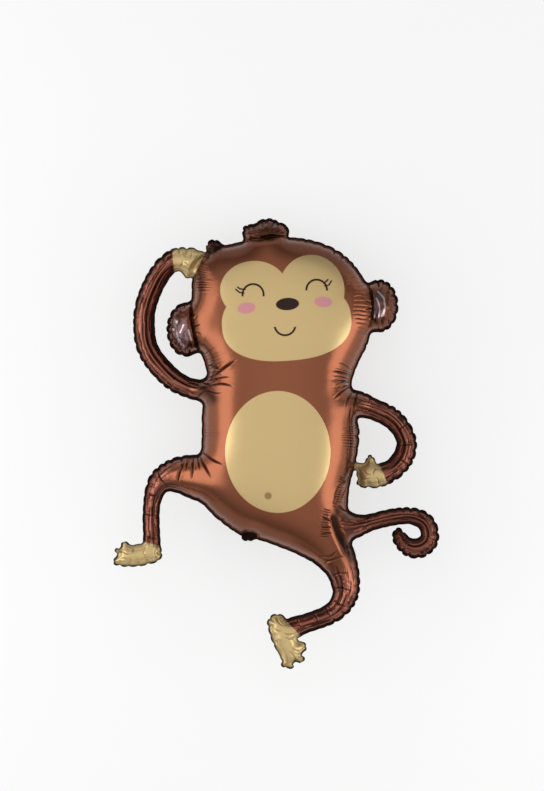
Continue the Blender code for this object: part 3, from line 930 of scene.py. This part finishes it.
def film_side(points, triangles, height, weld, creases, seed):
    """One sheet of the film: places off the weld's plane, then its values (see FILM_VALUES)."""
    distance, travelled, turn = weld
    inside = np.maximum(distance - WELD_WIDTH, 0)
    past_weld = rise(distance, WELD_WIDTH - 0.5, WELD_WIDTH + 2.0) * rise(height, 0, 2)
    body_distance = outline_body(points)
    on_body = rise(body_distance, *BODY_BLEND)
    on_limb = 1 - on_body
    slim = on_limb * (1 - rise(height, *SLIM_HEIGHT))
    in_hand = inside_tan_ends(points)
    bulge = rise(turn, *BULGE_TURN)
    long_ones = rise(along(travelled, LENGTH_PITCH, seed + 7), 0.05, 0.45)

    # Scallops along the limbs, wrinkles along the body, creases and rumples push the smooth film in or out.
    scallop = valley(scallop_phase(travelled))
    scallop_depth = (1.0 + 2.6 * bulge) * (0.7 + 0.6 * long_ones) * np.exp(-inside / (3.5 + 6.0 * long_ones))
    wrinkle = valley(travelled / WRINKLE_PITCH + 0.7 * along(travelled, WANDER_PITCH, seed))
    wrinkle *= on_body * np.exp(-inside / (8 + 16 * long_ones))
    grooves, lines = crease_grooves(points, creases)
    push = rumples(points, on_body, in_hand, seed) - grooves * (1 - 0.4 * in_hand)
    push -= on_limb * scallop_depth * scallop + (1.0 + 1.2 * bulge) * (0.3 + long_ones) * wrinkle
    smooth = drawn_in(points, height, body_distance)
    places = smooth + vertex_normals(smooth, triangles) * (past_weld * push)[:, None]

    # Painted shade on slim limbs, crown, low trunk edge, hair, ears and joins, in limbs' bends, in folds and
    # on the weld.
    in_bend = slim * rise(-turn, *HOLLOW_TURN) * np.exp(-(((inside - 7.5) / 3.5) ** 2))
    dark = [LIMB_SHADE * slim, on_body * dark_edges(points, distance), 0.8 * in_bend]
    dark = np.maximum.reduce([*dark, dark_places(points, body_distance)])
    between = 0.9 * on_limb * np.maximum(bulge, 0.7 * in_hand) * scallop * np.exp(-inside / 5)
    folds = past_weld * np.maximum.reduce([0.95 * lines, 0.3 * wrinkle, between])
    rim = dark_weld(distance, travelled, bulge, on_limb, in_hand)
    shade = np.maximum.reduce([dark * (1 - in_hand), folds * (1 - 0.55 * in_hand), rim])

    phase, depth = fine_puckers(points, travelled, inside, on_body, long_ones, seed)
    depth *= past_weld * (1 - 0.5 * in_hand)
    # Lengthwise streaks on slim limbs: bump and painted shade.
    streaks = past_weld * slim * (1 - in_hand)
    across_jump = triangles[np.ptp(phase[triangles], axis=1) > PUCKER_JUMP].ravel()
    depth[across_jump] = 0
    streaks[across_jump] = 0
    return places, shade, phase, depth, distance, streaks, slim


def weld_wave(weld):
    """How the weld's edge runs in and out of its line, as (inwards, up)."""
    distance, travelled, turn = weld
    size = (0.3 + rise(turn, *BULGE_TURN)) * (1 - rise(distance, WELD_WIDTH, WELD_WIDTH + 9))
    rolling = np.sin(2 * math.pi * (travelled / WAVE_PITCH + along(travelled, WANDER_PITCH, 1)))
    return WAVE_IN * size * valley(scallop_phase(travelled)), WAVE_UP * size * rolling


def inward_direction(points, loops):
    """The inward normal of the nearest stretch of outline, for each point."""
    nearest = np.full(len(points), np.inf)
    towards = np.zeros((len(points), 2))
    for loop in loops:
        for spot, normal in zip(loop, inward_normals(loop)):
            distance = np.hypot(*(points - spot).T)
            closer = distance < nearest
            nearest[closer] = distance[closer]
            towards[closer] = normal
    return towards


def film_mesh():
    """The whole balloon: front sheet, back sheet and the thin wall round the weld."""
    creases = all_creases()
    edges, inner = sheet_points(trace_outline(), creases)
    points, triangles = triangulate(edges, inner)
    weld = on_the_weld(points, edges)
    on_tab = np.hypot(*((points - VALVE_MARK[0]) / VALVE_MARK[1]).T) < VALVE_FLAT
    height = blown_up_height(points, triangles, (weld[0] < WELD_WIDTH + 0.05) | on_tab)
    inwards, up = weld_wave(weld)
    shift = inward_direction(points, edges) * inwards[:, None]
    shift -= (points.min(axis=0) + points.max(axis=0)) / 2
    scale = FIGURE_LENGTH / np.ptp(points[:, 1]) * MM
    sides = []
    for side, seed in ((1, FRONT_SEED), (-1, BACK_SEED)):
        places, *values = film_side(points, triangles, height, weld, creases, seed)
        places[:, :2] += shift
        places[:, 2] = side * (places[:, 2] + WELD_THICKNESS / 2) + up
        places *= scale
        places[:, 2] = np.maximum(places[:, 2] + BACK_CLEARANCE * MM, 0)
        sides.append((places, *values))
    places, *values = (np.concatenate(pair) for pair in zip(*sides))

    count = len(points)
    walls = [(a, b, b + count, a + count) for a, b in loop_edges(edges)]
    faces = triangles.tolist() + (triangles[:, ::-1] + count).tolist() + walls
    mesh = bpy.data.meshes.new("foil_film")
    mesh.from_pydata(places.tolist(), [], faces)
    bm = bmesh.new()
    bm.from_mesh(mesh)
    bmesh.ops.recalc_face_normals(bm, faces=bm.faces)
    bm.to_mesh(mesh)
    bm.free()
    for name, numbers in zip(FILM_VALUES, values):
        mesh.attributes.new(name, "FLOAT", "POINT").data.foreach_set("value", numbers)
    prints = np.vstack([points, points]) * MM + PRINT_SHIFT
    corners = np.empty(len(mesh.loops), int)
    mesh.loops.foreach_get("vertex_index", corners)
    mesh.uv_layers.new(name="print").data.foreach_set("uv", prints[corners].ravel())
    slots = np.repeat((0, 1, 2), (len(triangles), len(triangles), len(walls)))
    mesh.polygons.foreach_set("material_index", slots)
    mesh.shade_smooth()
    return mesh


class Ink:
    """A material whose print is drawn by shader nodes.

    A shape is a signed distance in millimetres, negative inside, and a cover is 1 inside and 0 outside.
    """

    def __init__(self, name):
        self.material = bpy.data.materials.new(name)
        self.material.use_nodes = True
        self.nodes = self.material.node_tree.nodes
        self.links = self.material.node_tree.links
        self.shader = self.nodes["Principled BSDF"]
        where = self.add("UVMap", uv_map="print").outputs["UV"]
        shift = -PRINT_SHIFT / MM
        self.spot = self.vector("MULTIPLY_ADD", where, (1 / MM, 1 / MM, 0), (shift, shift, 0))
        self.x, self.y = self.parts(self.spot)

    def wire(self, socket, value):
        if isinstance(value, bpy.types.NodeSocket):
            self.links.new(value, socket)
        else:
            socket.default_value = value

    def give(self, name, value):
        self.wire(self.shader.inputs[name], value)

    def add(self, kind, *values, **settings):
        """A new node with these settings and with the values in its first sockets."""
        node = self.nodes.new("ShaderNode" + kind)
        for name, setting in settings.items():
            setattr(node, name, setting)
        for socket, value in zip(node.inputs, values):
            self.wire(socket, value)
        return node

    def math(self, operation, *values, clamp=False):
        return self.add("Math", *values, operation=operation, use_clamp=clamp).outputs[0]

    def vector(self, operation, *values, scale=None):
        node = self.add("VectorMath", *values, operation=operation)
        if scale is not None:
            self.wire(node.inputs["Scale"], scale)
        return node.outputs["Value" if operation in ("LENGTH", "DOT_PRODUCT") else "Vector"]

    def parts(self, vector):
        return self.add("SeparateXYZ", vector).outputs[:2]

    def attribute(self, name):
        return self.add("Attribute", attribute_name=name).outputs["Fac"]

    def noise(self, vector, scale, detail=2.0):
        node = self.add("TexNoise", vector)
        node.inputs["Scale"].default_value = scale
        node.inputs["Detail"].default_value = detail
        return node.outputs["Fac"]

    def away(self, middle):
        return self.vector("SUBTRACT", self.spot, (*middle, 0))

    def disc(self, middle, radius):
        return self.math("SUBTRACT", self.vector("LENGTH", self.away(middle)), radius)

    def ring(self, middle, radius):
        return self.math("SUBTRACT", self.math("ABSOLUTE", self.disc(middle, radius)), LINE_HALF)

    def ellipse(self, middle, radii, tilt=0.0, power=2.0):
        away = self.away(middle)
        if tilt:
            turn = self.add("VectorRotate", away, rotation_type="Z_AXIS")
            turn.inputs["Angle"].default_value = -tilt
            away = turn.outputs[0]
        share = self.vector("DIVIDE", away, (*radii, 1))
        if power == 2:
            size = self.vector("LENGTH", share)
        else:
            x, y = (self.math("POWER", part, power) for part in self.parts(self.vector("ABSOLUTE", share)))
            size = self.math("POWER", self.math("ADD", x, y), 1 / power)
        return self.math("MULTIPLY", self.math("SUBTRACT", size, 1), min(radii))

    def line(self, path, half_width):
        pieces = []
        for start, end in zip(path, path[1:]):
            step = (end[0] - start[0], end[1] - start[1], 0)
            away = self.away(start)
            reached = self.vector("DOT_PRODUCT", away, step)
            share = self.math("DIVIDE", reached, step[0] ** 2 + step[1] ** 2, clamp=True)
            off = self.vector("SUBTRACT", away, self.vector("SCALE", step, scale=share))
            pieces.append(self.math("SUBTRACT", self.vector("LENGTH", off), half_width))
        return self.joined(pieces)

    def beyond(self, start, way):
        """The half plane on the side of start that way points to."""
        size = math.hypot(*way)
        return self.vector("DOT_PRODUCT", self.away(start), (-way[0] / size, -way[1] / size, 0))

    def joined(self, shapes):
        result = shapes[0]
        for shape in shapes[1:]:
            result = self.math("MINIMUM", result, shape)
        return result

    def cover(self, shape, soft=0.5):
        return self.add("MapRange", shape, soft, -soft).outputs[0]

    def between(self, cover, below, above):
        return self.math("MULTIPLY_ADD", cover, above - below, below)

    def mixed(self, cover, below, above):
        node = self.add("Mix", cover, data_type="RGBA")
        for name, value in (("A", below), ("B", above)):
            socket = next(s for s in node.inputs if s.name == name and s.type == "RGBA")
            self.wire(socket, value if isinstance(value, bpy.types.NodeSocket) else (*value, 1))
        return next(s for s in node.outputs if s.type == "RGBA")


def tan_print(ink, front):
    """Cover of the tan print: hands and feet, and on the front the face and the belly."""
    shapes = []
    for planes, middle, reach in TAN_ENDS:
        end = ink.disc(middle, reach)
        for start, way in planes:
            end = ink.math("MAXIMUM", end, ink.beyond(start, way))
        shapes.append(end)
    if front:
        shapes += [ink.ellipse(*lobe) for lobe in FACE_LOBES]
        shapes += [ink.ellipse(*MUZZLE, MUZZLE_TILT, MUZZLE_POWER), ink.ellipse(*BELLY)]
    return ink.cover(ink.joined(shapes))


def front_print(ink, colour):
    """The film's colour with the ears' lining, painted highlights in the ears, cheeks, navel and the face's
    dark lines over it.
    """
    uneven = ink.between(ink.noise(ink.spot, RAGGED_SCALE), -RAGGED_REACH, RAGGED_REACH)
    linings = ink.joined([ink.ellipse(*lining) for lining in EAR_LININGS])
    colour = ink.mixed(ink.cover(ink.math("ADD", linings, uneven), 2.0), colour, EAR_LINING)
    lights = ink.joined([ink.line(*light) for light in EAR_PAINTED_HIGHLIGHTS])
    colour = ink.mixed(ink.cover(ink.math("MULTIPLY_ADD", uneven, 0.1, lights), 0.7), colour, EAR_PAINTED_HIGHLIGHT)
    cheeks = ink.joined([ink.ellipse(*cheek) for cheek in CHEEKS])
    colour = ink.mixed(ink.cover(cheeks, 0.9), colour, CHEEK)
    colour = ink.mixed(ink.cover(ink.ellipse(*NAVEL_SPOT), 1.0), colour, NAVEL)
    lines = [ink.line(path, LASH_HALF) for path in LASHES]
    for middle, radius, low in EYES:
        lines.append(ink.math("MAXIMUM", ink.ring(middle, radius), ink.math("SUBTRACT", low, ink.y)))
    middle, radius, high = MOUTH
    lines.append(ink.math("MAXIMUM", ink.ring(middle, radius), ink.math("SUBTRACT", ink.y, high)))
    return ink.mixed(ink.cover(ink.joined([*lines, ink.ellipse(*NOSE, NOSE_TILT)])), colour, DARK_INK)


def film_folds(ink):
    """The share of shade painted in folds and elsewhere, with the valve mark's own dark, and the depth of the
    finest folds in millimetres.
    """
    phase, depth, streaks = (ink.attribute(name) for name in ("pucker_phase", "pucker_depth", "streaks"))
    swing = ink.math("SINE", ink.math("MULTIPLY", phase, math.pi))
    notch = ink.math("SUBTRACT", 1, ink.math("ABSOLUTE", swing))
    in_notch = ink.math("MULTIPLY", ink.math("POWER", notch, 5), depth)
    in_notch = ink.math("MULTIPLY", in_notch, PUCKER_SHADE)
    ways = zip((phase, ink.attribute("way_in")), STREAK_SCALE)
    place = ink.add("CombineXYZ", *[ink.math("MULTIPLY", way, scale) for way, scale in ways])
    streaky = ink.noise(place.outputs[0], 1.0)
    in_streak = ink.cover(ink.math("SUBTRACT", streaky, STREAK_LEVEL), STREAK_SOFT)
    in_streak = ink.math("MULTIPLY", in_streak, streaks)
    shade = ink.math("MAXIMUM", ink.attribute("shade"), in_notch, clamp=True)
    shade = ink.math("MAXIMUM", shade, ink.math("MULTIPLY", in_streak, STREAK_SHADE))
    shade = ink.math("MAXIMUM", shade, ink.cover(ink.ellipse(*VALVE_MARK), 1.0))
    relief = ink.math("MULTIPLY", ink.math("POWER", notch, 1.6), depth)
    dips = ink.math("MULTIPLY", ink.math("SUBTRACT", 1, streaky), streaks)
    return shade, ink.math("MULTIPLY_ADD", dips, STREAK_DEPTH, relief)


def add_grain(ink, depth=0.0):
    """Fine unevenness of the film, less the depth of its finest folds."""
    grain = ink.noise(ink.spot, GRAIN_SCALE, 3.0)
    height = ink.math("SUBTRACT", ink.math("MULTIPLY", grain, GRAIN_HEIGHT), depth)
    bump = ink.add("Bump", 1.0, MM)
    ink.wire(bump.inputs["Height"], height)
    ink.give("Normal", bump.outputs["Normal"])


def film_material(name, front):
    """Metallised film with its print, painted light on the limbs and painted shade. The back sheet has only
    the tan hands and feet.
    """
    ink = Ink(name)
    tan = tan_print(ink, front)
    # The brown is painted lighter and redder on slim limbs, as painted light.
    colour = ink.mixed(tan, ink.mixed(ink.attribute("limb"), BROWN, LIMB_PAINTED_LIGHT_BROWN), TAN)
    if front:
        colour = front_print(ink, colour)
    shade, depth = film_folds(ink)
    ink.give("Base Color", ink.mixed(shade, colour, SHADE_AND_VALVE_BROWN))
    ink.give("Specular Tint", (*GRAZING_TINT, 1))
    ink.give("Metallic", ink.between(tan, BROWN_METAL, TAN_METAL))
    rough = ink.between(tan, BROWN_ROUGHNESS, TAN_ROUGHNESS)
    ink.give("Roughness", ink.math("MULTIPLY_ADD", shade, FOLD_ROUGHNESS, rough))
    add_grain(ink, depth)
    return ink.material


def weld_material():
    ink = Ink("weld_film")
    # The weld's edge is near-black as painted shade.
    darker = tuple(part / 2 for part in SHADE_AND_VALVE_BROWN)
    ink.give("Base Color", ink.mixed(ink.noise(ink.spot, WELD_SCALE), SHADE_AND_VALVE_BROWN, darker))
    ink.give("Metallic", WELD_METAL)
    ink.give("Roughness", WELD_ROUGHNESS)
    add_grain(ink)
    return ink.material


def add_balloon():
    mesh = film_mesh()
    for material in (film_material("front_film", True), film_material("back_film", False), weld_material()):
        mesh.materials.append(material)
    balloon = bpy.data.objects.new("monkey_foil_balloon", mesh)
    bpy.context.scene.collection.objects.link(balloon)
    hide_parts("foil_envelope")
    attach(balloon, "root")


def add_floor():
    bpy.ops.mesh.primitive_plane_add(size=FLOOR_SIZE)
    floor = bpy.context.object
    floor.name = "floor"
    material = bpy.data.materials.new("pale_floor")
    material.use_nodes = True
    nodes, links = material.node_tree.nodes, material.node_tree.links
    shader = nodes["Principled BSDF"]
    grain = nodes.new("ShaderNodeTexNoise")
    grain.inputs["Scale"].default_value = FLOOR_GRAIN
    ramp = nodes.new("ShaderNodeValToRGB")
    for element, grey in zip(ramp.color_ramp.elements, FLOOR_GREYS):
        element.color = (grey, grey, grey, 1)
    links.new(grain.outputs["Fac"], ramp.inputs["Fac"])
    links.new(ramp.outputs["Color"], shader.inputs["Base Color"])
    shader.inputs["Roughness"].default_value = FLOOR_ROUGHNESS
    shader.inputs["Emission Color"].default_value = (1, 1, 1, 1)
    shader.inputs["Emission Strength"].default_value = FLOOR_GLOW
    floor.data.materials.append(material)


def add_light(name, place, aim, size, power):
    """A soft box of size (width, height) that faces aim."""
    light = bpy.data.lights.new(name, "AREA")
    light.shape = "RECTANGLE"
    light.size, light.size_y = size
    light.energy = power
    lamp = bpy.data.objects.new(name, light)
    lamp.location = place
    lamp.rotation_euler = (Vector(aim) - Vector(place)).to_track_quat("-Z", "Y").to_euler()
    lamp.visible_camera = False
    bpy.context.scene.collection.objects.link(lamp)


def add_lights():
    """Bright overhead and dim towards the horizon, with a soft box low on each side."""
    world = bpy.data.worlds.new("room")
    bpy.context.scene.world = world
    world.use_nodes = True
    nodes, links = world.node_tree.nodes, world.node_tree.links
    where = nodes.new("ShaderNodeTexCoord")
    parts = nodes.new("ShaderNodeSeparateXYZ")
    links.new(where.outputs["Generated"], parts.inputs[0])
    ramp = nodes.new("ShaderNodeMapRange")
    links.new(parts.outputs["Z"], ramp.inputs["Value"])
    ramp.inputs["To Min"].default_value = ROOM_LOW
    ramp.inputs["To Max"].default_value = ROOM_HIGH
    links.new(ramp.outputs[0], nodes["Background"].inputs["Strength"])
    nodes["Background"].inputs["Color"].default_value = (1, 1, 1, 1)
    for name, place, size, power in BOXES:
        add_light(name, place, (0, place[1], BOX_AIM_HEIGHT), size, power)


def add_camera():
    camera = bpy.data.cameras.new("camera")
    camera.sensor_fit = "VERTICAL"
    camera.sensor_height = SENSOR
    camera.lens = SENSOR * (CAMERA_HEIGHT - BACK_CLEARANCE) / PICTURE_HEIGHT
    camera.clip_end = CAMERA_REACH
    eye = bpy.data.objects.new("camera", camera)
    eye.location = (PICTURE_MIDDLE[0] * MM, PICTURE_MIDDLE[1] * MM, CAMERA_HEIGHT * MM)
    bpy.context.scene.collection.objects.link(eye)
    bpy.context.scene.camera = eye


def main():
    for thing in list(bpy.data.objects):
        bpy.data.objects.remove(thing, do_unlink=True)
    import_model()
    add_balloon()
    add_floor()
    add_lights()
    add_camera()
    bpy.context.scene.view_settings.view_transform = "Standard"


main()
